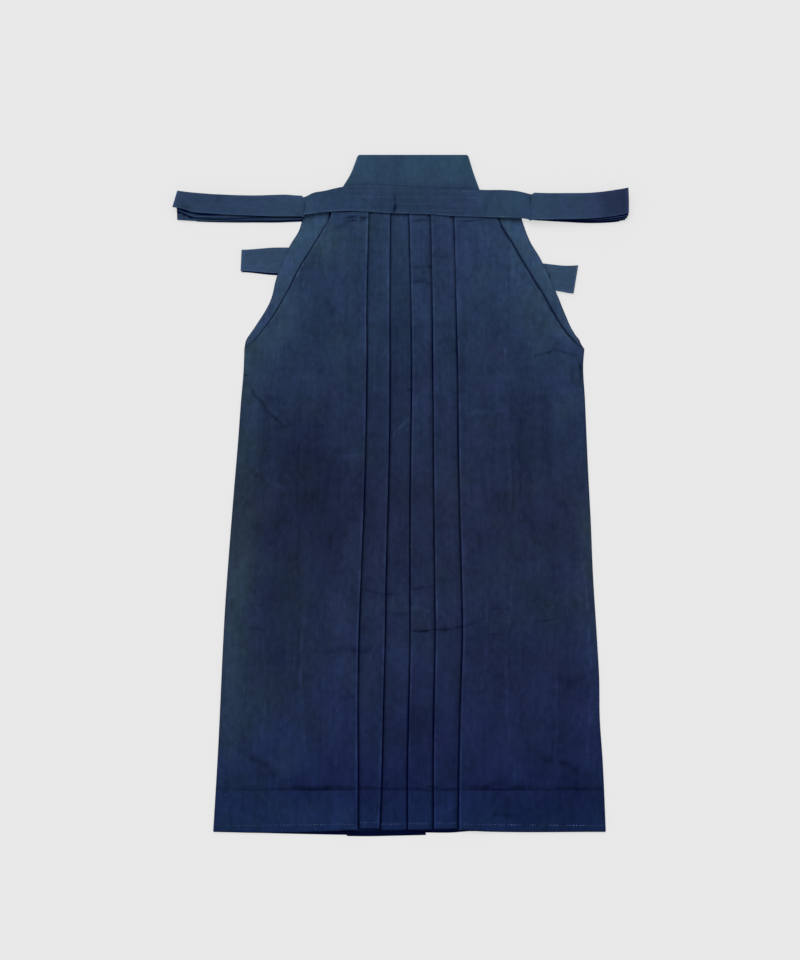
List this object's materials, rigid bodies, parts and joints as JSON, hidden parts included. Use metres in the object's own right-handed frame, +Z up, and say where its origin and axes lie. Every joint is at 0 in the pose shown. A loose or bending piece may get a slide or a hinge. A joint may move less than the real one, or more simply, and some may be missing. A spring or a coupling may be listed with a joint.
{
  "type": "hakama trousers",
  "caption": "Wide pleated divided trousers laid flat, front up, with a stiff back board, a front waistband and folded tie straps.",
  "frame": {"origin": "middle of the underside of the whole laid-out garment, on the surface it rests on", "axes": "+Y from the hem toward the waist, +X toward the wearer's left, +Z up, out of the front of the trousers"},
  "size_m": [0.7182, 1.0546, 0.0123],
  "materials": {
    "body_cloth": "matte slubbed cotton, indigo",
    "waist_cloth": "matte cotton, indigo",
    "strap_cloth": "matte cotton, indigo"
  },
  "bodies": {
    "root": {"back_leg_right": "body_cloth", "back_leg_left": "body_cloth", "front_leg_right": "body_cloth", "front_leg_left": "body_cloth", "front_band": "waist_cloth", "back_board": "waist_cloth", "front_strap_right": "strap_cloth", "front_strap_left": "strap_cloth", "back_strap_right": "strap_cloth", "back_strap_left": "strap_cloth"}
  },
  "joints": []
}
